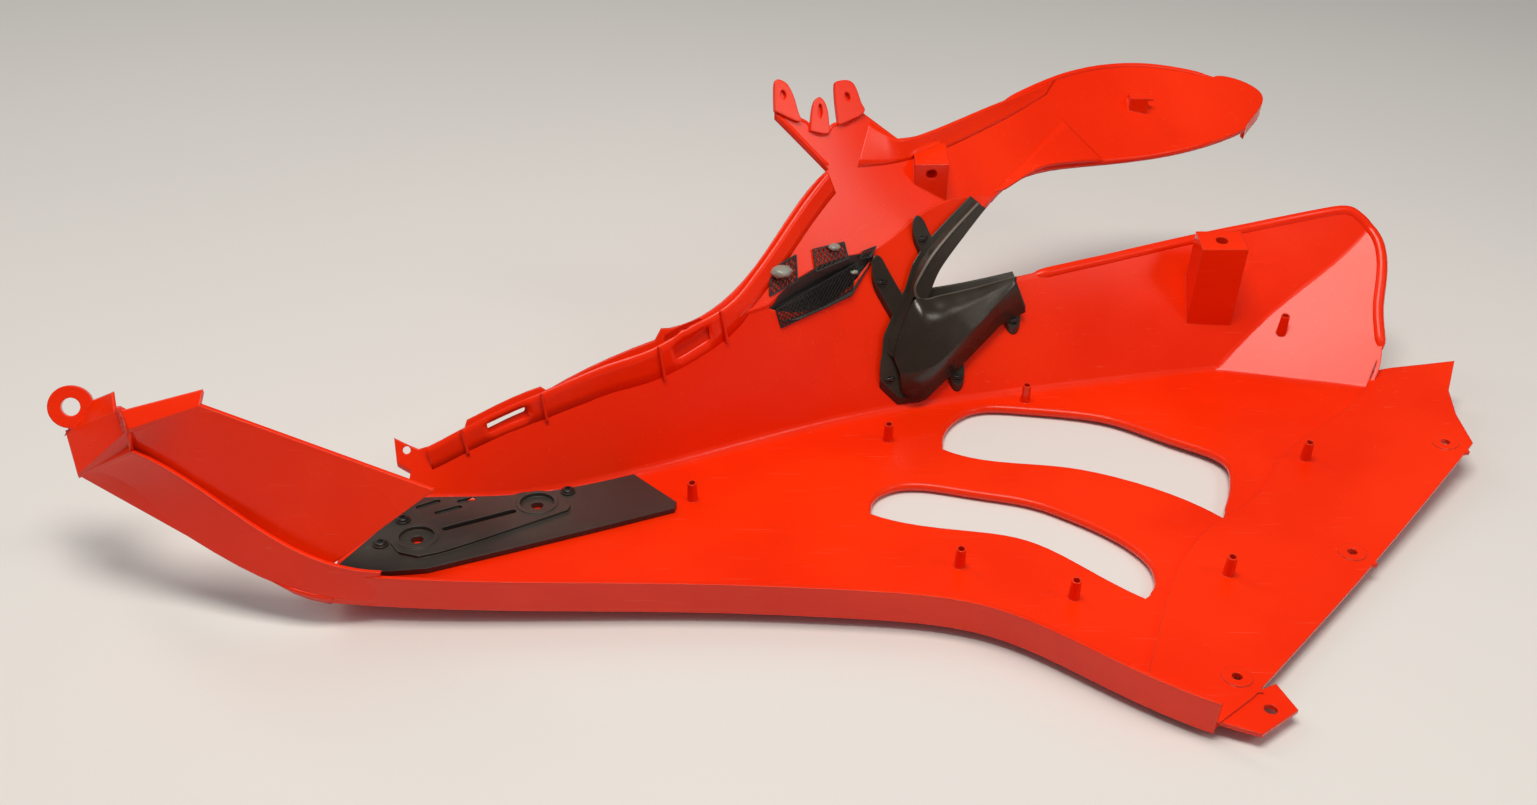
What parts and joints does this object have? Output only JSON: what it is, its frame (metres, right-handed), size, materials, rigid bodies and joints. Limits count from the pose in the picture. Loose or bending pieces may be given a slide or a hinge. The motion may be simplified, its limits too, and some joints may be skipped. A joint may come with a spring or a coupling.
{
  "type": "motorcycle upper fairing half",
  "caption": "Right-hand half of a motorcycle upper fairing: thin creased shell with air gills, nose arm, upper arm, stepped rear flange, posts, mounting plate and mesh.",
  "frame": {"origin": "middle of the footprint, on the surface the fairing lies on", "axes": "+X to the rear of the motorcycle, +Y up the motorcycle, +Z towards the inside of the fairing, away from the surface it lies on"},
  "size_m": [0.9342, 0.5778, 0.2249],
  "materials": {
    "red_shell": "orange-red paint, gloss outside and on the lip, satin inside",
    "dark_plastic": "fine-grained dark grey moulded plastic",
    "dark_trim": "satin dark brown-grey moulded plastic",
    "black_mesh": "black-coated expanded metal",
    "black_screws": "black-coated steel"
  },
  "bodies": {
    "root": {"fairing_shell": "red_shell", "wing_mount_plate": "dark_plastic", "notch_trim": "dark_trim", "intake_mesh": "black_mesh", "plate_screws": "black_screws", "trim_screws": "black_screws"}
  },
  "joints": []
}
